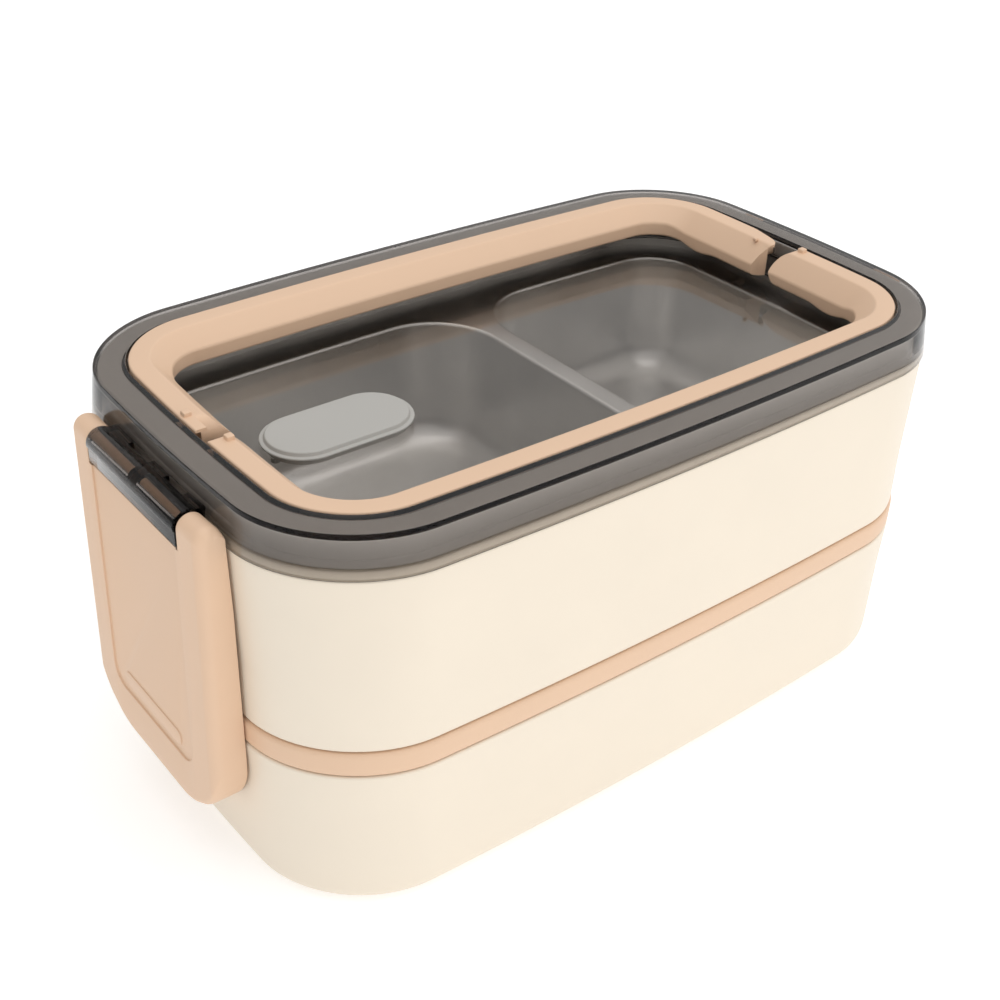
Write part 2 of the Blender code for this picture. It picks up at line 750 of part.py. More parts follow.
for side, label in ((-1, "left"), (1, "right")):
    above = axis_level + 2 * ear_radius
    clip = prism(f"clip_{label}", shield(clip_half, clip_bottom, above, CLIP_CORNER), "X",
                 side * clip_back, side * clip_face, parts)
    side_profile = [
        (side * clip_face, clip_bottom - EDGE),
        (side * clip_face, axis_level),
        *[(side * out, level) for out, level in
          arc(axis_out, axis_level, ear_radius, 0, 180, 2 * ARC_STEPS)],
        (side * clip_back, clip_bottom - EDGE),
    ]
    trim = prism(f"clip_{label}_side", side_profile, "Y", -CLIP_WIDTH, CLIP_WIDTH)
    combine(clip, trim, "INTERSECT")
    cavity_bottom = clip_bottom + CLIP_WALL
    cavity = prism(f"clip_{label}_cavity",
                   shield(clip_half - CLIP_WALL, cavity_bottom, cavity_top, CLIP_CORNER - CLIP_WALL),
                   "X", side * (clip_back - CLIP_WALL), side * (panel_face - CLIP_WALL))
    combine(clip, cavity, "DIFFERENCE")
    panel = prism(f"clip_{label}_panel",
                  shield(panel_half, panel_bottom, above, CLIP_CORNER - CLIP_WALL), "X",
                  side * panel_face, side * (clip_face + CLIP_WALL))
    combine(clip, panel, "DIFFERENCE")
    notch_profile = [
        (axis_out + CLIP_DEPTH, above + EDGE),
        (axis_out - CLIP_DEPTH, above + EDGE),
        (axis_out - CLIP_DEPTH, axis_level - notch_reach),
        *arc(axis_out, axis_level, notch_reach, 270, 360, ARC_STEPS),
    ]
    notch_profile = [(side * out, level) for out, level in notch_profile]
    notch = prism(f"clip_{label}_notch", notch_profile, "Y", -ear_inner, ear_inner)
    combine(clip, notch, "DIFFERENCE")
    for end in (-1, 1):
        tip = (side * axis_out, end * (BARREL_CORE / 2 + PIN_CLEARANCE), axis_level)
        root = (side * axis_out, end * (ear_inner + CLIP_WALL), axis_level)
        combine(clip, rod(f"clip_{label}_axle_{end}", AXLE_RADIUS, tip, root), "UNION")
    hook_top = catch_bottom - HOOK_GAP
    hook = block(f"clip_{label}_hook",
                 (side * (catch_tip - HOOK_BITE), -CATCH_WIDTH / 2, hook_top - HOOK_HEIGHT),
                 (side * (panel_face - CLIP_WALL / 2), CATCH_WIDTH / 2, hook_top))
    combine(clip, hook, "UNION")
    grip_level = panel_bottom + GRIP_WIDTH
    grip_end = (GRIP_LENGTH - GRIP_WIDTH) / 2
    grip_outline = [
        *arc(grip_end, grip_level, GRIP_WIDTH / 2, -90, 90, ARC_STEPS),
        *arc(-grip_end, grip_level, GRIP_WIDTH / 2, 90, 270, ARC_STEPS),
    ]
    grip = prism(f"clip_{label}_grip", grip_outline, "X",
                 side * (panel_face - CLIP_WALL / 2), side * (panel_face + GRIP_HEIGHT))
    combine(clip, grip, "UNION")
    finish(clip, APRICOT, (side * axis_out, 0.0, axis_level))
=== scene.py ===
"""A bento lunch box of two cream tiers with steel liners, an apricot band and handles, and a smoke lid.

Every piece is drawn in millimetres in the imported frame, and stands where its solid stands.
"""
import math

import bmesh
import bpy
from mathutils import Matrix, Vector


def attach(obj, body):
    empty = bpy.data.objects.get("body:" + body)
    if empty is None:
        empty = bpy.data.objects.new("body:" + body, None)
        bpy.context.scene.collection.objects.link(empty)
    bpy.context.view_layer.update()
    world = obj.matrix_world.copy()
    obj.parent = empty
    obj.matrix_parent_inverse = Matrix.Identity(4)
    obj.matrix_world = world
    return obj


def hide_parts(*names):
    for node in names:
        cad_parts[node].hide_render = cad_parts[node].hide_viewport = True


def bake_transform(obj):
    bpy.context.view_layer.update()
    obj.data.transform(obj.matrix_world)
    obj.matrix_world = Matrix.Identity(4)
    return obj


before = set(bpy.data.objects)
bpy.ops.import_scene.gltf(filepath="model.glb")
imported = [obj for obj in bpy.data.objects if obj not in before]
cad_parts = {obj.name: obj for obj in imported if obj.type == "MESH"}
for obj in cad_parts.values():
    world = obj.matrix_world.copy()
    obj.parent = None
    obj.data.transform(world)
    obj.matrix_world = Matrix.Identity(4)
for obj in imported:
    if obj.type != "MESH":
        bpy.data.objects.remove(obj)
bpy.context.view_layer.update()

# Lower tier: a satin cream polypropylene shell, moulded in one piece. Its drafted walls stand on a
# rounded foot, a ledge inside the rim carries the steel liner, and each end has a rib for its clip.
MM = 0.001
BOX_LENGTH = 200.0
BOX_WIDTH = 118.8
BOX_CORNER = 28.4
LONG_BOW = 3.1
SHORT_BOW = 2.4
CORNER_STEPS = 22
LONG_STEPS = 26
SHORT_STEPS = 12
BEND_STEPS = 6


def bowed(x, y):
    """Move a plan point with the gentle bow of the box's four sides."""
    along = x / (BOX_LENGTH / 2)
    across = y / (BOX_WIDTH / 2)
    return x - SHORT_BOW * along * across ** 2, y - LONG_BOW * across * along ** 2


def arc(x, y, radius, start, end, steps):
    """Points on a circular arc, with its angles in degrees."""
    angles = [math.radians(start + (end - start) * k / steps) for k in range(steps + 1)]
    return [(x + radius * math.cos(a), y + radius * math.sin(a)) for a in angles]


def straight(start, end, steps):
    """Points between two others, without the two."""
    start = Vector(start)
    return [tuple(start.lerp(Vector(end), k / steps)) for k in range(1, steps)]


def rounded_box(low_x, high_x, half_y, low_radius, high_radius):
    """A rounded rectangle, anticlockwise from its +X side, with its own radius at each end."""
    bends = [
        arc(high_x - high_radius, half_y - high_radius, high_radius, 0, 90, CORNER_STEPS),
        arc(low_x + low_radius, half_y - low_radius, low_radius, 90, 180, CORNER_STEPS),
        arc(low_x + low_radius, low_radius - half_y, low_radius, 180, 270, CORNER_STEPS),
        arc(high_x - high_radius, high_radius - half_y, high_radius, 270, 360, CORNER_STEPS),
    ]
    points = []
    for k, bend in enumerate(bends):
        steps = SHORT_STEPS if k % 2 else LONG_STEPS
        points += bend + straight(bend[-1], bends[(k + 1) % 4][0], steps)
    return points


def box_line(inset):
    """The box's plan outline, moved in by an inset."""
    half_x = BOX_LENGTH / 2 - inset
    radius = BOX_CORNER - inset
    outline = rounded_box(-half_x, half_x, BOX_WIDTH / 2 - inset, radius, radius)
    return [bowed(x, y) for x, y in outline]


def soften(corners, closed=False):
    """A section's corners, each (p, q, radius), as a line with every corner rounded."""
    line = []
    for k, (p, q, radius) in enumerate(corners):
        if radius == 0 or not closed and k in (0, len(corners) - 1):
            line.append((p, q))
            continue
        here = Vector((p, q))
        back = Vector(corners[k - 1][:2]) - here
        ahead = Vector(corners[(k + 1) % len(corners)][:2]) - here
        room = 0.49 * min(back.length, ahead.length)
        back.normalize()
        ahead.normalize()
        half = back.angle(ahead) / 2
        run = min(radius / math.tan(half), room)
        radius = run * math.tan(half)
        centre = here + (back + ahead).normalized() * radius / math.sin(half)
        first = here + back * run - centre
        last = here + ahead * run - centre
        start = math.degrees(math.atan2(first.y, first.x))
        turn = math.degrees(math.atan2(last.y, last.x)) - start
        turn = (turn + 180) % 360 - 180
        line += arc(centre.x, centre.y, radius, start, start + turn, BEND_STEPS)
    return line


def ring_rows(model, rings):
    """The corners of a skin, one row for each ring of points."""
    return [[model.verts.new(point) for point in ring] for ring in rings]


def cover_rows(model, rows):
    """The faces of a skin, from each closed row of corners to the next."""
    for below, above in zip(rows, rows[1:]):
        for k, vert in enumerate(below):
            j = (k + 1) % len(below)
            model.faces.new((vert, below[j], above[j], above[k]))


def loft(rings, capped=True):
    """A skin through rings of points, with flat ends or open ones."""
    model = bmesh.new()
    rows = ring_rows(model, rings)
    if capped:
        model.faces.new(rows[0])
        model.faces.new(rows[-1])
    cover_rows(model, rows)
    return model


def turned(corners):
    """A closed body whose section, corners of (inset, level, radius), follows the box's outline."""
    return loft([[(x, y, level) for x, y in box_line(inset)] for inset, level in soften(corners)])


def crisp(piece, angle=32):
    """Shade a piece smooth, but for edges sharper than an angle in degrees."""
    piece.data.shade_smooth()
    piece.data.set_sharp_from_angle(angle=math.radians(angle))


def make_piece(name, model, outward=True):
    """A smooth mesh object at the origin, in metres, from a model in millimetres."""
    bmesh.ops.remove_doubles(model, verts=model.verts, dist=1e-4)
    if outward:
        bmesh.ops.recalc_face_normals(model, faces=model.faces)
    bmesh.ops.scale(model, vec=(MM, MM, MM), verts=model.verts)
    mesh = bpy.data.meshes.new(name)
    model.to_mesh(mesh)
    model.free()
    piece = bpy.data.objects.new(name, mesh)
    bpy.context.scene.collection.objects.link(piece)
    crisp(piece)
    return piece


def settled(piece):
    """Turn a piece and its modifiers into a plain mesh of its own."""
    old = piece.data
    shown = piece.evaluated_get(bpy.context.evaluated_depsgraph_get())
    made = bpy.data.meshes.new_from_object(shown)
    piece.modifiers.clear()
    piece.data = made
    made.name = piece.name
    bpy.data.meshes.remove(old)


def carve(piece, tool, operation="DIFFERENCE"):
    """Cut a tool out of a piece, or join it on."""
    step = piece.modifiers.new("carve", "BOOLEAN")
    step.operation = operation
    step.solver = "EXACT"
    step.object = tool
    settled(piece)
    bpy.data.objects.remove(tool)


def brick(low, high):
    """A rectangular tool between two corners."""
    outline = [(low[0], low[1]), (high[0], low[1]), (high[0], high[1]), (low[0], high[1])]
    return make_piece("tool", loft([[(x, y, z) for x, y in outline] for z in (low[2], high[2])]))


def srgb(red, green, blue):
    """A linear colour from values of 0 to 255 as seen on a screen."""
    parts = [value / 255 for value in (red, green, blue)]
    return [*[c / 12.92 if c <= 0.04045 else ((c + 0.055) / 1.055) ** 2.4 for c in parts], 1.0]


def add_node(tree, kind, inputs=(), **settings):
    """A node with its settings, and its inputs as plain values or as links from other sockets."""
    made = tree.nodes.new(kind)
    for name, value in settings.items():
        setattr(made, name, value)
    for key, value in dict(inputs).items():
        if isinstance(value, bpy.types.NodeSocket):
            tree.links.new(value, made.inputs[key])
        else:
            made.inputs[key].default_value = value
    return made


def moulded_grain():
    """The faint clouding and fine spark-eroded grain of moulded plastic, as a shader group."""
    tree = bpy.data.node_groups.new("moulded_grain", "ShaderNodeTree")
    for name, kind in (("Colour", "Color"), ("Mottle", "Float"), ("Roughness", "Float"), ("Grain", "Float")):
        tree.interface.new_socket(name, in_out="INPUT", socket_type="NodeSocket" + kind)
    for name, kind in (("Colour", "Color"), ("Roughness", "Float"), ("Normal", "Vector")):
        tree.interface.new_socket(name, in_out="OUTPUT", socket_type="NodeSocket" + kind)
    given = tree.nodes.new("NodeGroupInput").outputs
    place = add_node(tree, "ShaderNodeTexCoord").outputs["Object"]
    cloud = add_node(tree, "ShaderNodeTexNoise", {"Vector": place, "Scale": 42.0, "Detail": 3.0})
    grain = add_node(tree, "ShaderNodeTexNoise", {"Vector": place, "Scale": 1900.0, "Detail": 2.0})
    swing = add_node(tree, "ShaderNodeMath", {0: cloud.outputs["Fac"], 1: 0.5}, operation="SUBTRACT")
    tint = add_node(tree, "ShaderNodeMath", {0: swing.outputs[0], 1: given["Mottle"], 2: 1.0},
                    operation="MULTIPLY_ADD")
    colour = add_node(tree, "ShaderNodeMix", {"Factor": 1.0, "A": given["Colour"], "B": tint.outputs[0]},
                      data_type="RGBA", blend_type="MULTIPLY")
    dull = add_node(tree, "ShaderNodeMath", {0: swing.outputs[0], 1: 0.16, 2: given["Roughness"]},
                    operation="MULTIPLY_ADD")
    rough = add_node(tree, "ShaderNodeMath", {0: grain.outputs["Fac"], 1: 0.08, 2: dull.outputs[0]},
                     operation="MULTIPLY_ADD")
    bump = add_node(tree, "ShaderNodeBump", {"Strength": given["Grain"], "Distance": 0.00004,
                                             "Height": grain.outputs["Fac"]})
    result = tree.nodes.new("NodeGroupOutput").inputs
    tree.links.new(colour.outputs["Result"], result["Colour"])
    tree.links.new(rough.outputs[0], result["Roughness"])
    tree.links.new(bump.outputs[0], result["Normal"])
    return tree


grain_group = moulded_grain()


def satin(name, colour, roughness, mottle, grain):
    """A satin plastic or rubber with the moulded grain in its colour, gloss and surface."""
    material = bpy.data.materials.new(name)
    material.use_nodes = True
    tree = material.node_tree
    shader = tree.nodes["Principled BSDF"]
    shader.inputs["IOR"].default_value = 1.49
    finish = add_node(tree, "ShaderNodeGroup", node_tree=grain_group)
    finish.inputs["Colour"].default_value = colour
    finish.inputs["Mottle"].default_value = mottle
    finish.inputs["Roughness"].default_value = roughness
    finish.inputs["Grain"].default_value = grain
    tree.links.new(finish.outputs["Colour"], shader.inputs["Base Color"])
    tree.links.new(finish.outputs["Roughness"], shader.inputs["Roughness"])
    tree.links.new(finish.outputs["Normal"], shader.inputs["Normal"])
    return material


cream_plastic = satin("cream_plastic", srgb(236, 224, 206), 0.40, 0.06, 0.25)
lower_tier = make_piece("lower_tier_shell", turned([
    (14.0, 0.0, 0),
    (-0.4, 0.0, 5.0),
    (-0.7, 26.0, 30.0),
    (-1.25, 39.5, 0.7),
    (2.2, 39.5, 0.3),
    (2.2, 38.6, 0),
    (4.4, 38.6, 0.2),
    (4.4, 36.8, 0.2),
    (1.0, 33.4, 0.8),
    (1.8, 2.2, 4.0),
    (14.0, 2.2, 0),
]))
CATCH_HALF = 14.0
CATCH_LEVELS = 27.9, 30.9
CATCH_TIP = 103.6
WALL_ROOT = 99.4
for side in (-1, 1):
    reach = sorted((side * WALL_ROOT, side * CATCH_TIP))
    rib = brick((reach[0], -CATCH_HALF, CATCH_LEVELS[0]), (reach[1], CATCH_HALF, CATCH_LEVELS[1]))
    carve(lower_tier, rib, "UNION")
crisp(lower_tier)


def dress(piece, material, body, slot, *nodes):
    """Give a piece its material, its body and the solids it stands for."""
    piece.data.materials.clear()
    piece.data.materials.append(material)
    if body:
        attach(piece, body)
    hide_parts(*nodes)


dress(lower_tier, cream_plastic, "lower", "cream", "lower_shell")

# Lower liner: a tub deep-drawn from stainless sheet and satin brushed, hanging by its flange on the
# ledge inside the shell's rim. It lifts out to be washed.
SHEET = 0.6


def brushed_steel():
    """Satin stainless steel, with fine lines drawn along the box and a soft cloudy sheen."""
    material = bpy.data.materials.new("brushed_steel")
    material.use_nodes = True
    tree = material.node_tree
    shader = tree.nodes["Principled BSDF"]
    shader.inputs["Metallic"].default_value = 1.0
    shader.inputs["Anisotropic"].default_value = 0.35
    place = add_node(tree, "ShaderNodeTexCoord").outputs["Object"]
    drawn = add_node(tree, "ShaderNodeMapping", {"Vector": place, "Scale": (40.0, 2600.0, 2600.0)})
    lines = add_node(tree, "ShaderNodeTexNoise", {"Vector": drawn.outputs[0], "Scale": 1.0, "Detail": 3.0})
    cloud = add_node(tree, "ShaderNodeTexNoise", {"Vector": place, "Scale": 60.0, "Detail": 2.0})
    rough = add_node(tree, "ShaderNodeMapRange", {"Value": lines.outputs["Fac"], "To Min": 0.30,
                                                  "To Max": 0.44})
    tone = add_node(tree, "ShaderNodeMapRange", {"Value": cloud.outputs["Fac"], "From Min": 0.3,
                                                 "From Max": 0.7, "To Min": 0.72, "To Max": 0.80})
    tint = add_node(tree, "ShaderNodeMix", {"Factor": 1.0, "A": (1.0, 0.985, 0.955, 1.0),
                                            "B": tone.outputs[0]}, data_type="RGBA", blend_type="MULTIPLY")
    bump = add_node(tree, "ShaderNodeBump", {"Strength": 0.12, "Distance": 0.00002,
                                             "Height": lines.outputs["Fac"]})
    tree.links.new(tint.outputs["Result"], shader.inputs["Base Color"])
    tree.links.new(rough.outputs[0], shader.inputs["Roughness"])
    tree.links.new(bump.outputs[0], shader.inputs["Normal"])
    return material


def pressed(name, model):
    """A pressing: an open sheet, seen from above, that takes its thickness downwards."""
    bmesh.ops.remove_doubles(model, verts=model.verts, dist=1e-4)
    bmesh.ops.recalc_face_normals(model, faces=model.faces)
    model.normal_update()
    floor = max(model.faces, key=lambda face: face.calc_area())
    if floor.normal.z < 0:
        bmesh.ops.reverse_faces(model, faces=model.faces)
    piece = make_piece(name, model, outward=False)
    sheet = piece.modifiers.new("sheet", "SOLIDIFY")
    sheet.thickness = SHEET * MM
    sheet.offset = -1.0
    settled(piece)
    crisp(piece, 45)
    return piece


def open_turned(corners, floor=False):
    """An open sheet round the box's outline, with its last ring closed as a floor if asked."""
    rings = [[(x, y, level) for x, y in box_line(inset)] for inset, level in soften(corners)]
    model = loft(rings, capped=False)
    if floor:
        model.verts.ensure_lookup_table()
        model.faces.new(model.verts[-len(rings[-1]):])
    return model


steel = brushed_steel()
lower_liner = pressed("lower_steel_tub", open_turned([
    (2.5, 39.5, 0),
    (5.3, 39.5, 1.1),
    (7.3, 4.3, 6.0),
    (22.0, 4.3, 0),
], floor=True))
dress(lower_liner, steel, "lower_liner", "steel", "lower_liner")

# Band cover: the apricot lid of the lower tier, moulded with a plug that fits the tub's mouth and a
# nest on top where the upper tier stands. Only its edge shows, as the band round the box.
apricot_plastic = satin("apricot_plastic", srgb(226, 192, 162), 0.42, 0.05, 0.25)
band = make_piece("band_cover", turned([
    (16.0, 44.1, 0),
    (6.7, 44.1, 0.5),
    (5.6, 46.0, 0.6),
    (-1.2, 46.0, 1.0),
    (-1.2, 39.8, 1.0),
    (2.2, 39.8, 0.2),
    (2.2, 41.8, 0.3),
    (5.8, 41.8, 0.3),
    (5.8, 37.2, 0.6),
    (7.8, 37.2, 0.6),
    (7.8, 42.1, 0.8),
    (16.0, 42.1, 0),
]))
dress(band, apricot_plastic, "mid", "apricot", "mid_lid")

# Band seal: an extruded silicone section with rounded corners, pressed into the groove under the band
# cover, which it follows all the way round. It closes the lower tier.


def ring_tree():
    """Geometry nodes that sweep a rounded section along a closed line of edges."""
    tree = bpy.data.node_groups.new("seal_ring", "GeometryNodeTree")
    face = tree.interface
    face.new_socket("Geometry", in_out="INPUT", socket_type="NodeSocketGeometry")
    face.new_socket("Width", in_out="INPUT", socket_type="NodeSocketFloat")
    face.new_socket("Height", in_out="INPUT", socket_type="NodeSocketFloat")
    face.new_socket("Round", in_out="INPUT", socket_type="NodeSocketFloat")
    face.new_socket("Material", in_out="INPUT", socket_type="NodeSocketMaterial")
    face.new_socket("Geometry", in_out="OUTPUT", socket_type="NodeSocketGeometry")
    given = tree.nodes.new("NodeGroupInput").outputs
    path = add_node(tree, "GeometryNodeMeshToCurve", {"Mesh": given["Geometry"]})
    level = add_node(tree, "GeometryNodeSetCurveNormal", {"Curve": path.outputs[0]}, mode="Z_UP")
    section = add_node(tree, "GeometryNodeCurvePrimitiveQuadrilateral",
                       {"Width": given["Width"], "Height": given["Height"]})
    soft = add_node(tree, "GeometryNodeFilletCurve", {"Curve": section.outputs[0], "Count": 5,
                                                      "Radius": given["Round"]}, mode="POLY")
    swept = add_node(tree, "GeometryNodeCurveToMesh", {"Curve": level.outputs[0],
                                                       "Profile Curve": soft.outputs[0]})
    smooth = add_node(tree, "GeometryNodeSetShadeSmooth", {"Geometry": swept.outputs[0]})
    real = add_node(tree, "GeometryNodeRealizeInstances", {"Geometry": smooth.outputs[0]})
    coated = add_node(tree, "GeometryNodeSetMaterial", {"Geometry": real.outputs[0],
                                                        "Material": given["Material"]})
    tree.links.new(coated.outputs[0], tree.nodes.new("NodeGroupOutput").inputs[0])
    return tree


seal_tree = ring_tree()
seal_silicone = satin("seal_silicone", srgb(228, 225, 220), 0.55, 0.05, 0.15)


def seal_ring(name, outer, inner, bottom, top):
    """One seal between two insets and two levels, swept by the ring's geometry nodes."""
    line = [(x * MM, y * MM, (bottom + top) / 2 * MM) for x, y in box_line((outer + inner) / 2)]
    mesh = bpy.data.meshes.new(name)
    mesh.from_pydata(line, [(k, (k + 1) % len(line)) for k in range(len(line))], [])
    piece = bpy.data.objects.new(name, mesh)
    bpy.context.scene.collection.objects.link(piece)
    sweep = piece.modifiers.new("sweep", "NODES")
    sweep.node_group = seal_tree
    sizes = {"Width": (inner - outer) * MM, "Height": (top - bottom) * MM, "Round": 0.5 * MM,
             "Material": seal_silicone}
    for item in seal_tree.interface.items_tree:
        if item.in_out == "INPUT" and item.name in sizes:
            sweep[item.identifier] = sizes[item.name]
    settled(piece)
    return piece


mid_seal = seal_ring("band_seal", outer=2.55, inner=4.85, bottom=39.85, top=41.5)
dress(mid_seal, seal_silicone, "mid", "seal_silicone", "mid_seal")

# Upper tier: the taller cream shell. A foot under it drops into the band cover's nest, and a neck
# round its rim goes up inside the skirt of the lid.
upper_tier = make_piece("upper_tier_shell", turned([
    (16.0, 44.4, 0),
    (7.0, 44.4, 0.6),
    (7.0, 46.3, 0.3),
    (-0.75, 46.3, 0.9),
    (-0.6, 62.0, 60.0),
    (-1.15, 91.0, 0.9),
    (0.0, 91.0, 0.3),
    (0.0, 93.25, 0.3),
    (2.35, 93.25, 0.2),
    (2.35, 93.9, 0.2),
    (4.4, 93.9, 0.2),
    (4.4, 92.1, 0.2),
    (1.1, 88.8, 0.8),
    (1.6, 48.5, 4.5),
    (14.0, 48.5, 0),
]))
dress(upper_tier, cream_plastic, "upper", "cream", "upper_shell")

# Upper liner: the second stainless pressing. Below its mouth lies a wide shelf, into which two
# compartments are drawn with rolled edges, and the fold between them divides the tub.
MOUTH_INSET = 5.3
FOLD_X = 10.2
FOLD_HALF = 3.2
FOLD_LEVEL = 85.4
FOLD_CORNER = 19.5
FOLD_ROLL = 1.1
WELL_INSET = 15.7
WELL_FLOOR = 50.6
WELL_DRAFT = 1.5
WELL_FILLET = 9.0


def well_line(side, inset):
    """The plan outline of one compartment before its sides bow, on one side of the fold."""
    far = BOX_LENGTH / 2 - inset
    half_y = BOX_WIDTH / 2 - inset
    grown = inset - WELL_INSET
    near = FOLD_X + side * (FOLD_HALF + grown)
    ends = (near, far) if side > 0 else (-far, near)
    radii = (FOLD_CORNER - grown, BOX_CORNER - inset)
    return rounded_box(*ends, half_y, *(radii if side > 0 else reversed(radii)))


def upper_sheet():
    """The upper pressing's face: mouth, shelf with the fold, and two compartments."""
    model = open_turned([(2.5, 94.8, 0), (MOUTH_INSET, 94.8, 1.1), (MOUTH_INSET, FOLD_LEVEL, 0)])
    model.verts.ensure_lookup_table()
    count = len(box_line(0.0))
    rims = [list(model.verts)[-count:]]
    roll = WELL_INSET - FOLD_ROLL, FOLD_LEVEL - FOLD_ROLL
    bend = WELL_INSET + WELL_DRAFT + WELL_FILLET, WELL_FLOOR + WELL_FILLET
    skin = arc(*roll, FOLD_ROLL, 90, 0, BEND_STEPS) + arc(*bend, WELL_FILLET, 180, 270, 2 * BEND_STEPS)
    for side in (-1, 1):
        rings = [[(*bowed(x, y), z) for x, y in well_line(side, inset)] for inset, z in skin]
        rows = ring_rows(model, rings)
        cover_rows(model, rows)
        model.faces.new(rows[-1])
        rims.append(rows[0])
    edges = []
    for rim in rims:
        for k, vert in enumerate(rim):
            pair = (vert, rim[(k + 1) % len(rim)])
            edges.append(model.edges.get(pair) or model.edges.new(pair))
    bmesh.ops.triangle_fill(model, edges=edges, use_beauty=True)
    return model


upper_liner = pressed("upper_steel_tub", upper_sheet())
dress(upper_liner, steel, "upper_liner", "steel", "upper_liner")

# Lid: one thick moulding in clear smoke plastic, polished all over. A flat rim stands round a sunk
# window, a skirt drops over the tier's neck, and each end has a hinge barrel.
AXIS_OUT = 104.7
AXIS_LEVEL = 93.7
BARREL_HALF = 20.4
BARREL_RADIUS = 3.45
BORE_RADIUS = 1.2
BARREL_CORE = 2.0
APRON_OUT = 3.1
APRON_TOP = 92.7
APRON_FOOT = 89.3
APRON_SLANT = 0.8
APRON_WALL = 2.0
WEB_ROOT = 100.3
WEB_LEVELS = 91.6, 96.4
WEB_SLOTS = (-13.7, -5.5), (1.6, 11.0)
SLOT_OUT = 101.0, 102.3
SLOT_LEVELS = 89.0, 98.0
PIVOT_Y = 7.0
PIVOT_LEVEL = 96.8
PIVOT_HOLE = 1.9
PIVOT_DEPTH = 90.0, 95.0
ROUND_STEPS = 32


def smoke_clear():
    """Clear smoke plastic: polished, tinted by its own depth, and letting lamps into the box."""
    material = bpy.data.materials.new("smoke_clear_plastic")
    material.use_nodes = True
    tree = material.node_tree
    shader = tree.nodes["Principled BSDF"]
    shader.inputs["Base Color"].default_value = (0.90, 0.89, 0.88, 1.0)
    shader.inputs["Transmission Weight"].default_value = 1.0
    shader.inputs["IOR"].default_value = 1.49
    shader.inputs["Specular Tint"].default_value = (0.25, 0.25, 0.26, 1.0)
    place = add_node(tree, "ShaderNodeTexCoord").outputs["Object"]
    swirl = add_node(tree, "ShaderNodeTexNoise", {"Vector": place, "Scale": 55.0, "Detail": 2.0})
    polish = add_node(tree, "ShaderNodeMapRange", {"Value": swirl.outputs["Fac"], "From Min": 0.35,
                                                   "From Max": 0.75, "To Min": 0.02, "To Max": 0.06})
    tree.links.new(polish.outputs[0], shader.inputs["Roughness"])
    path = add_node(tree, "ShaderNodeLightPath")
    passed = add_node(tree, "ShaderNodeBsdfTransparent", {"Color": (0.86, 0.84, 0.82, 1.0)})
    surface = add_node(tree, "ShaderNodeMixShader", {0: path.outputs["Is Shadow Ray"],
                                                     1: shader.outputs[0], 2: passed.outputs[0]})
    depth = add_node(tree, "ShaderNodeVolumeAbsorption", {"Color": (0.630, 0.605, 0.588, 1.0),
                                                          "Density": 750.0})
    output = tree.nodes["Material Output"]
    tree.links.new(surface.outputs[0], output.inputs["Surface"])
    tree.links.new(depth.outputs[0], output.inputs["Volume"])
    return material


def prism(points, axis, start, end):
    """A tool: an outline of points on the other two axes, in order, extruded along an axis."""
    spot = "XYZ".index(axis)
    rings = [[(*point[:spot], place, *point[spot:]) for point in points] for place in (start, end)]
    return make_piece("tool", loft(rings))


def rod(radius, start, end):
    """A round tool between two points."""
    start = Vector(start)
    along = Vector(end) - start
    turn = Vector((0, 0, 1)).rotation_difference(along).to_matrix()
    circle = [Vector((x, y, 0)) for x, y in arc(0, 0, radius, 0, 360, ROUND_STEPS)[:-1]]
    return make_piece("tool", loft([[turn @ p + start + along * k for p in circle] for k in (0, 1)]))


def rounded_edges(piece, width, low=25, high=50):
    """Round a piece's sharp edges as a mould does, less and less where an edge fades out."""
    model = bmesh.new()
    model.from_mesh(piece.data)
    bmesh.ops.dissolve_degenerate(model, edges=model.edges, dist=0.02 * MM)
    weight = model.edges.layers.float.new("bevel_weight_edge")
    for edge in model.edges:
        turn = math.degrees(edge.calc_face_angle(0.0))
        edge[weight] = min(1.0, max(0.0, (turn - low) / (high - low)))
    model.to_mesh(piece.data)
    model.free()
    bevel = piece.modifiers.new("rounded edges", "BEVEL")
    bevel.width = width * MM
    bevel.segments = 3
    bevel.limit_method = "WEIGHT"
    bevel.use_clamp_overlap = False
    settled(piece)


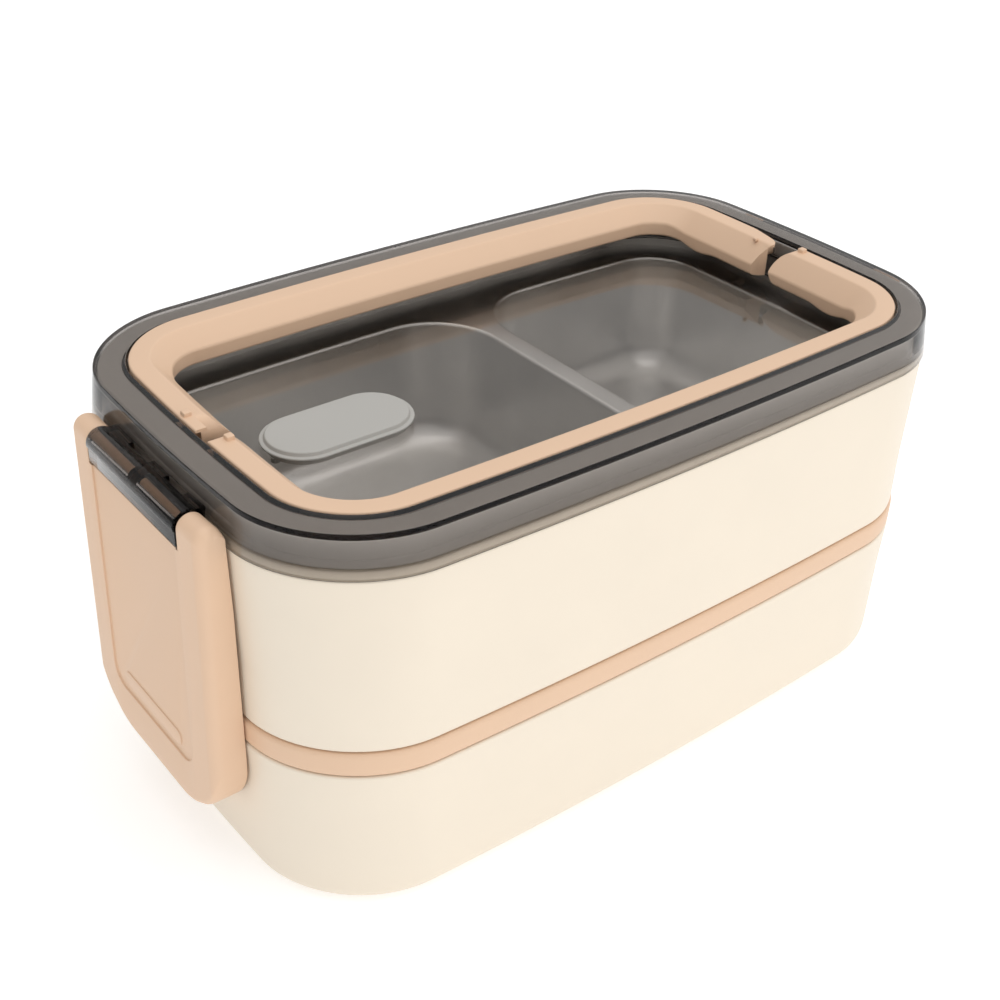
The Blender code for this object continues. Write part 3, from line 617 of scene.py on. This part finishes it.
lid = make_piece("smoke_lid", turned([
    (20.0, 89.0, 0),
    (7.8, 89.0, 0.3),
    (7.8, 101.5, 0.5),
    (-0.05, 101.5, 0.3),
    (-1.6, 91.3, 0.12),
    (-1.15, 91.3, 0.12),
    (-0.8, 92.85, 0.2),
    (0.5, 94.15, 0.2),
    (0.6, 99.8, 0.1),
    (6.9, 99.8, 0.4),
    (6.9, 95.6, 0.3),
    (5.8, 94.6, 0.3),
    (5.8, 88.35, 0.6),
    (20.0, 88.35, 0),
]))
for side in (-1, 1):
    apron = AXIS_OUT + APRON_OUT
    section = [
        (apron, APRON_FOOT),
        (apron, APRON_TOP),
        *arc(AXIS_OUT, AXIS_LEVEL, BARREL_RADIUS, -10, 126, 24),
        (WEB_ROOT, WEB_LEVELS[1]),
        (WEB_ROOT, WEB_LEVELS[0]),
        *arc(AXIS_OUT, AXIS_LEVEL, BARREL_RADIUS, 218.1, 270, 8),
        (apron - APRON_WALL, AXIS_LEVEL - BARREL_RADIUS),
        (apron - APRON_WALL, APRON_FOOT - APRON_SLANT),
    ]
    barrel = prism([(side * out, z) for out, z in section], "Y", -BARREL_HALF, BARREL_HALF)
    rounded_edges(barrel, 0.3)
    carve(lid, barrel, "UNION")
    slot = sorted(side * out for out in SLOT_OUT)
    for near, far in WEB_SLOTS:
        carve(lid, brick((slot[0], near, SLOT_LEVELS[0]), (slot[1], far, SLOT_LEVELS[1])))
    for end in (-1, 1):
        bore = rod(BORE_RADIUS, (side * AXIS_OUT, end * BARREL_CORE, AXIS_LEVEL),
                   (side * AXIS_OUT, end * (BARREL_HALF + 1), AXIS_LEVEL))
        carve(lid, bore)
        hole = rod(PIVOT_HOLE, (side * PIVOT_DEPTH[0], end * PIVOT_Y, PIVOT_LEVEL),
                   (side * PIVOT_DEPTH[1], end * PIVOT_Y, PIVOT_LEVEL))
        carve(lid, hole)
VENT_PLUG = -47.7, 2.4
VENT_STEM = -73.0, 1.1
VENT_EASE = 0.25
for x, radius in (VENT_PLUG, VENT_STEM):
    carve(lid, rod(radius + VENT_EASE, (x, 0, 86.0), (x, 0, 90.0)))
crisp(lid, 40)
smoke = smoke_clear()
dress(lid, smoke, "lid", "smoke", "lid_shell")

# Lid seal: the same silicone section, only larger, pressed up into the channel behind the skirt. A
# thin lip under its outer edge rests on the neck of the upper tier.
lid_seal = seal_ring("lid_seal_ring", outer=1.15, inner=6.75, bottom=94.95, top=99.65)
seal_lip = seal_ring("seal_lip", outer=0.85, inner=2.15, bottom=93.28, top=95.4)
carve(lid_seal, seal_lip, "UNION")
crisp(lid_seal, 40)
dress(lid_seal, seal_silicone, "lid", "seal_silicone", "lid_seal")

# Steam vent: one grey silicone moulding. Its root is pulled through the window by a stem. The tab is drawn
# flat with its plug in the vent hole, and fold lines cross it at the living hinge that lifts the plug. A
# low, plain pad stands on it.
VENT_X = -56.5
VENT_REACH = 8.9
VENT_HALF = 10.2
VENT_HINGE = -70.2
FOLD_LINES = 5
FOLD_PITCH = 0.4
PLUG_FOOT = 87.3
STEM_FOOT = 87.0
TAB_INSIDE = 90.0
vent_silicone = satin("vent_silicone", srgb(176, 174, 169), 0.52, 0.05, 0.35)


def tab_line(inset):
    """The tab's outline: a rectangle with round ends."""
    radius = VENT_HALF - inset
    return (arc(VENT_X + VENT_REACH, 0, radius, -90, 90, ROUND_STEPS)
            + arc(VENT_X - VENT_REACH, 0, radius, 90, 270, ROUND_STEPS))


tab_section = soften([
    (3.0, 89.1, 0),
    (1.2, 89.1, 0.2),
    (1.2, 90.5, 0.2),
    (0.0, 90.7, 0.2),
    (0.0, 91.3, 0.35),
    (0.95, 91.3, 0.15),
    (1.3, 92.2, 0.45),
    (4.5, 92.2, 0),
])
tab_model = loft([[(x, y, z) for x, y in tab_line(inset)] for inset, z in tab_section])
for k in range(-FOLD_LINES, FOLD_LINES + 1):
    parts = [*tab_model.verts, *tab_model.edges, *tab_model.faces]
    bmesh.ops.bisect_plane(tab_model, geom=parts, plane_co=(VENT_HINGE + FOLD_PITCH * k, 0, 0),
                           plane_no=(1, 0, 0))
tab = make_piece("vent_tab", tab_model)
for (x, radius), foot in ((VENT_PLUG, PLUG_FOOT), (VENT_STEM, STEM_FOOT)):
    carve(tab, rod(radius, (x, 0, foot), (x, 0, TAB_INSIDE)), "UNION")
crisp(tab, 40)
dress(tab, vent_silicone, None, "vent_silicone", "vent_anchor", "vent_flap")
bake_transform(tab)

# Handles: two apricot U bars lying in the well, each turning on moulded pins in the lid's wall. The
# front one's ends are round; the rear one's carry a lip that meets the front one when both stand up.
HANDLE_OUT = 8.3
HANDLE_TOP = 101.4
HANDLE_FLAT = 5.2
HANDLE_IN = 18.5
END_CENTRE = 7.4
END_LEVEL = 97.1
END_RADIUS = 4.6
REST_FOOT = 97.2
REST_BOTTOM = 93.0
ARM_FOOT = 95.9
ARM_BOTTOM = 92.5
LOBE_Y = 25.5
LOBE_HALF = 7.0
LOBE_DROP = 1.0
ARM_FADE = 30.0, 40.0
PIN_RADIUS = 1.5
PIN_ENDS = 84.0, 93.6
TOOTH_END = -0.1
TOOTH_LEVELS = 100.0, 100.7
TOOTH_ROOT = 14.0


def eased(value, low, high):
    """A smooth step from 0 to 1 between two values."""
    share = min(1.0, max(0.0, (value - low) / (high - low)))
    return share * share * (3 - 2 * share)


def handle_line(inset, end_y):
    """Half of the box's outline, from an arm's end on the right round to the one on the left."""
    half_x = BOX_LENGTH / 2 - inset
    half_y = BOX_WIDTH / 2 - inset
    radius = BOX_CORNER - inset
    right = arc(half_x - radius, half_y - radius, radius, 0, 90, CORNER_STEPS)
    left = arc(radius - half_x, half_y - radius, radius, 90, 180, CORNER_STEPS)
    arm = 2 * SHORT_STEPS
    return [
        (half_x, end_y),
        *straight((half_x, end_y), right[0], arm),
        *right,
        *straight(right[-1], left[0], LONG_STEPS),
        *left,
        *straight(left[-1], (-half_x, end_y), arm),
        (-half_x, end_y),
    ]


def handle_section(y):
    """The bar's section at a distance from the pivots: deeper along the arms, with a lobe under them."""
    arm = 1 - eased(y, *ARM_FADE)
    foot = REST_FOOT + (ARM_FOOT - REST_FOOT) * arm
    lobe = max(0.0, math.cos(math.pi / 2 * min(1.0, abs(y - LOBE_Y) / LOBE_HALF))) ** 1.5
    bottom = REST_BOTTOM + (ARM_BOTTOM - REST_BOTTOM) * arm - LOBE_DROP * lobe
    return soften([
        (HANDLE_OUT, HANDLE_TOP, 0.5),
        (HANDLE_OUT + HANDLE_FLAT, HANDLE_TOP, 1.2),
        (HANDLE_IN, foot, 1.3),
        (HANDLE_IN - 0.2, bottom + 0.4, 1.0),
        (HANDLE_IN - 2.2, bottom - 0.2, 1.4),
        (HANDLE_OUT, bottom, 0.8),
    ], closed=True)


def handle_bar(end_y, lift):
    """A handle's whole bar, with square ends, on the rear half of the well, its grip resting higher."""
    middle = handle_line((HANDLE_OUT + HANDLE_IN) / 2, end_y)
    sections = [handle_section(y) for x, y in middle]
    rings = [[] for _ in middle]
    for k in range(len(sections[0])):
        for station, section in enumerate(sections):
            inset, level = section[k]
            x, y = bowed(*handle_line(inset, end_y)[station])
            rings[station].append((x, y, level + lift * max(0.0, y - PIVOT_Y)))
    return loft(rings)


BELOW = 85.0
ABOVE = 110.0
BEYOND = -6.0
ROUND_END = [
    (BEYOND, ABOVE),
    (END_CENTRE, ABOVE),
    *arc(END_CENTRE, END_LEVEL, END_RADIUS, 90, 270, ROUND_STEPS),
    (END_CENTRE, BELOW),
    (BEYOND, BELOW),
]
UNDER_TOOTH = [
    (BEYOND, BELOW),
    (TOOTH_ROOT, BELOW),
    (TOOTH_ROOT, TOOTH_LEVELS[0]),
    (TOOTH_END, TOOTH_LEVELS[1]),
    (BEYOND, TOOTH_LEVELS[1]),
]
BEAK = [
    (96.0, BEYOND),
    (96.0, 16.0),
    (91.95, 16.0),
    (90.3, 6.3),
    (89.6, 3.6),
    (88.7, 1.9),
    (87.1, 0.7),
    (83.8, 2.8),
    (80.5, 3.7),
    (70.0, 4.1),
    (70.0, BEYOND),
]
INNER_ENDS = -89.0, 85.7
REAR_LIFT = 0.017
NUB_ROOT = 100.85
NUB_SIZE = 0.95, 102.4
SMALL_NUB_SIZE = 0.6, 101.9
NUBS = {
    "handle_front": ((89.8, -7.0), (-87.4, -7.0)),
    "handle_rear": ((85.5, 6.5), (-90.1, 7.1)),
}
for name, front in (("handle_rear", 1), ("handle_front", -1)):
    handle = make_piece(name + "_bar", handle_bar(TOOTH_END, REAR_LIFT if front > 0 else 0.0))
    if front > 0:
        carve(handle, prism(ROUND_END, "X", INNER_ENDS[0], 0.0))
        carve(handle, prism(UNDER_TOOTH, "X", -100.0, INNER_ENDS[0]))
        carve(handle, prism(UNDER_TOOTH, "X", INNER_ENDS[1], 100.0))
        carve(handle, prism(BEAK, "Z", BELOW, ABOVE))
    else:
        carve(handle, prism(ROUND_END, "X", -100.0, 100.0))
    for side in (-1, 1):
        carve(handle, rod(PIN_RADIUS, (side * PIN_ENDS[0], PIVOT_Y, PIVOT_LEVEL),
                          (side * PIN_ENDS[1], PIVOT_Y, PIVOT_LEVEL)), "UNION")
    if front < 0:
        handle.data.transform(Matrix.Scale(-1, 4, (0, 1, 0)))
        handle.data.flip_normals()
    for x, y in NUBS[name]:
        half, high = SMALL_NUB_SIZE if front > 0 and x > 0 else NUB_SIZE
        nub = brick((x - half, y - half, NUB_ROOT), (x + half, y + half, high))
        rounded_edges(nub, 0.3)
        carve(handle, nub, "UNION")
    crisp(handle, 50)
    dress(handle, apricot_plastic, name, "apricot", name)

# Clips: hollow apricot levers that hang from stub axles in the lid's barrels and hook under the
# ribs of the lower tier. Their raised, rounded borders frame a flat panel with a low grip.
CLIP_HALF = 29.7
CLIP_BOTTOM = 16.2
CLIP_BACK = 101.75
CLIP_CORNER = 18.0
CLIP_EDGE = 2.7
CLIP_HUG = 0.4
CLIP_FACE_TOP = 107.7
CLIP_LEAN = 0.0235
PANEL_HALF = 19.7
PANEL_BOTTOM = 29.2
PANEL_CORNER = 5.0
PANEL_DEPTH = 0.5
CLIP_WALL = 2.2
AXLE_RADIUS = 1.0
AXLE_ENDS = 2.4, 24.0
NOTCH_HALF = 20.9
NOTCH_RADIUS = 5.8
HOOK_OUT = 102.6, 106.0
HOOK_LEVELS = 24.4, 27.4
GRIP_HALF = 12.0
GRIP_LEVEL = 33.4
GRIP_RADIUS = 2.0
GRIP_RISE = 0.35
INSIDE_TOP = 86.6


def clip_face(z):
    """How far out a clip's front lies at a level: it leans out a little towards its foot."""
    return CLIP_FACE_TOP + CLIP_LEAN * (AXIS_LEVEL - z)


def clip_section(y):
    """A clip's section across, at one place along its width, as (out, level)."""
    from_side = min(CLIP_HALF - abs(y), CLIP_EDGE)
    ease = CLIP_EDGE - math.sqrt(max(0.0, CLIP_EDGE ** 2 - (CLIP_EDGE - from_side) ** 2))
    past = max(0.0, abs(y) - CLIP_HALF + CLIP_CORNER)
    bottom = CLIP_BOTTOM + CLIP_CORNER - math.sqrt(max(0.0, CLIP_CORNER ** 2 - past ** 2))
    near = CLIP_BACK - SHORT_BOW * (y / BOX_WIDTH * 2) ** 2 + 0.1 * ease
    centre = (CLIP_FACE_TOP + near) / 2
    crown = []
    for k in range(ROUND_STEPS + 1):
        angle = math.pi * k / ROUND_STEPS
        give = CLIP_FACE_TOP - centre - ease * (1 - eased(angle, 1.9, math.pi))
        crown.append((centre + give * math.cos(angle), AXIS_LEVEL + give * math.sin(angle)))
    foot = soften([
        (near, 91.5, 0),
        (near - CLIP_HUG, 76.0, 0.3),
        (near - CLIP_HUG, bottom, 0.5),
        (clip_face(bottom) - ease, bottom, 2.4),
        (clip_face(60.0) - ease, 60.0, 0),
    ])
    return foot + crown


def plate(points, near, far, side):
    """A tool drawn on a clip's front: (y, z) points between two depths that depend on the level."""
    rings = [[(side * depth(z), y, z) for y, z in points] for depth in (near, far)]
    return make_piece("tool", loft(rings))


def shield(half, bottom, top, radius):
    """An outline on a clip's front, square at the top and round at its lower corners."""
    return [
        (half, top),
        (-half, top),
        *arc(radius - half, bottom + radius, radius, 180, 270, CORNER_STEPS),
        *arc(half - radius, bottom + radius, radius, 270, 360, CORNER_STEPS),
    ]


straight_half = CLIP_HALF - CLIP_CORNER
corner_places = [y for y, _ in arc(straight_half, 0, CLIP_CORNER, -90, 0, 2 * CORNER_STEPS)]
places = [-y for y in reversed(corner_places)]
places += [straight_half * k / 4 for k in range(-3, 4)]
places += corner_places
places = [y for y in places if abs(abs(y) - NOTCH_HALF) > 1.9]
for side, label in ((-1, "left"), (1, "right")):
    rings = [[(side * out, y, z) for out, z in clip_section(y)] for y in places]
    clip = make_piece(f"clip_{label}_lever", loft(rings))
    panel = shield(PANEL_HALF, PANEL_BOTTOM, 110.0, PANEL_CORNER)
    carve(clip, plate(panel, lambda z: clip_face(z) - PANEL_DEPTH, lambda z: clip_face(z) + 5.0, side))
    inside = shield(CLIP_HALF - CLIP_WALL, CLIP_BOTTOM + CLIP_WALL, INSIDE_TOP, CLIP_CORNER - CLIP_WALL)
    depth = PANEL_DEPTH + CLIP_WALL
    carve(clip, plate(inside, lambda z: CLIP_BACK - 3.0, lambda z: clip_face(z) - depth, side))
    notch = [
        (AXIS_OUT + 9.0, 112.0),
        (AXIS_OUT - 9.0, 112.0),
        (AXIS_OUT - 9.0, AXIS_LEVEL - NOTCH_RADIUS),
        *arc(AXIS_OUT, AXIS_LEVEL, NOTCH_RADIUS, 270, 360, ROUND_STEPS),
    ]
    carve(clip, prism([(side * out, z) for out, z in notch], "Y", -NOTCH_HALF, NOTCH_HALF))
    for end in (-1, 1):
        carve(clip, rod(AXLE_RADIUS, (side * AXIS_OUT, end * AXLE_ENDS[0], AXIS_LEVEL),
                        (side * AXIS_OUT, end * AXLE_ENDS[1], AXIS_LEVEL)), "UNION")
    reach = sorted(side * out for out in HOOK_OUT)
    hook = brick((reach[0], -CATCH_HALF, HOOK_LEVELS[0]), (reach[1], CATCH_HALF, HOOK_LEVELS[1]))
    carve(clip, hook, "UNION")
    pill = (arc(GRIP_HALF, GRIP_LEVEL, GRIP_RADIUS, -90, 90, ROUND_STEPS)
            + arc(-GRIP_HALF, GRIP_LEVEL, GRIP_RADIUS, 90, 270, ROUND_STEPS))
    carve(clip, plate(pill, lambda z: clip_face(z) - PANEL_DEPTH - 1.0,
                      lambda z: clip_face(z) - PANEL_DEPTH + GRIP_RISE, side), "UNION")
    rounded_edges(clip, 0.16)
    crisp(clip, 50)
    dress(clip, apricot_plastic, f"clip_{label}", "apricot", f"clip_{label}")

# Studio: a plain pale floor under an even sky that leans to the front right, with a soft light above
# and another in front. The camera stands where the photograph was taken from.
FLOOR_HALF = 3.0
floor_mesh = bpy.data.meshes.new("floor")
floor_mesh.from_pydata([(-FLOOR_HALF, -FLOOR_HALF, 0), (FLOOR_HALF, -FLOOR_HALF, 0),
                        (FLOOR_HALF, FLOOR_HALF, 0), (-FLOOR_HALF, FLOOR_HALF, 0)], [], [(0, 1, 2, 3)])
floor = bpy.data.objects.new("floor", floor_mesh)
bpy.context.scene.collection.objects.link(floor)
pale = bpy.data.materials.new("pale_floor")
pale.use_nodes = True
paint = pale.node_tree.nodes["Principled BSDF"].inputs
paint["Base Color"].default_value = (0.75, 0.75, 0.75, 1.0)
paint["Roughness"].default_value = 0.9
paint["Emission Color"].default_value = (1.0, 1.0, 1.0, 1.0)
paint["Emission Strength"].default_value = 0.42
floor_mesh.materials.append(pale)

world = bpy.data.worlds.new("studio")
bpy.context.scene.world = world
world.use_nodes = True
sky = world.node_tree
SKY_LEVEL = 0.69
SKY_LEAN = (0.12, -0.20, 0.06)
GLOW_WAY = (-0.53, -0.65, 0.54)
GLOW_LEVEL = 0.06
way = add_node(sky, "ShaderNodeTexCoord").outputs["Generated"]
lean = add_node(sky, "ShaderNodeVectorMath", {0: way, 1: SKY_LEAN}, operation="DOT_PRODUCT")
level = add_node(sky, "ShaderNodeMath", {0: lean.outputs["Value"], 1: SKY_LEVEL}, operation="ADD")
faced = add_node(sky, "ShaderNodeVectorMath", {0: way, 1: GLOW_WAY}, operation="DOT_PRODUCT")
glow = add_node(sky, "ShaderNodeMapRange", {"Value": faced.outputs["Value"], "From Min": 0.4,
                                            "From Max": 0.95, "To Max": GLOW_LEVEL})
level = add_node(sky, "ShaderNodeMath", {0: level.outputs[0], 1: glow.outputs[0]}, operation="ADD")
sky.nodes["Background"].inputs["Color"].default_value = (1.0, 1.0, 1.0, 1.0)
sky.links.new(level.outputs[0], sky.nodes["Background"].inputs["Strength"])


def softbox(name, place, target, size, power):
    """A square area light that faces a point."""
    lamp = bpy.data.lights.new(name, "AREA")
    lamp.size = size
    lamp.energy = power
    stand = bpy.data.objects.new(name, lamp)
    stand.location = place
    stand.rotation_euler = (Vector(target) - Vector(place)).to_track_quat("-Z", "Y").to_euler()
    bpy.context.scene.collection.objects.link(stand)


softbox("top", (0.1, 0.1, 1.5), (0, 0, 0.05), 1.6, 7.0)
softbox("front", (0.7, -1.6, 0.5), (0, 0, 0.05), 1.4, 3.6)

camera_data = bpy.data.cameras.new("camera")
camera_data.sensor_fit = "HORIZONTAL"
camera_data.angle = 2 * math.atan(500.0 / 1429.38)
camera_data.clip_start = 0.01
camera = bpy.data.objects.new("camera", camera_data)
EYE = Vector((-0.20489, -0.24360, 0.25470))
AHEAD = Vector((0.52799, 0.65395, -0.54183)).normalized()
UPWARD = Vector((0.31259, 0.44357, 0.83996))
right = AHEAD.cross(UPWARD).normalized()
up = right.cross(AHEAD)
camera.matrix_world = Matrix((
    (right.x, up.x, -AHEAD.x, EYE.x),
    (right.y, up.y, -AHEAD.y, EYE.y),
    (right.z, up.z, -AHEAD.z, EYE.z),
    (0, 0, 0, 1),
))
bpy.context.scene.collection.objects.link(camera)
bpy.context.scene.camera = camera
bpy.context.scene.view_settings.view_transform = "Standard"
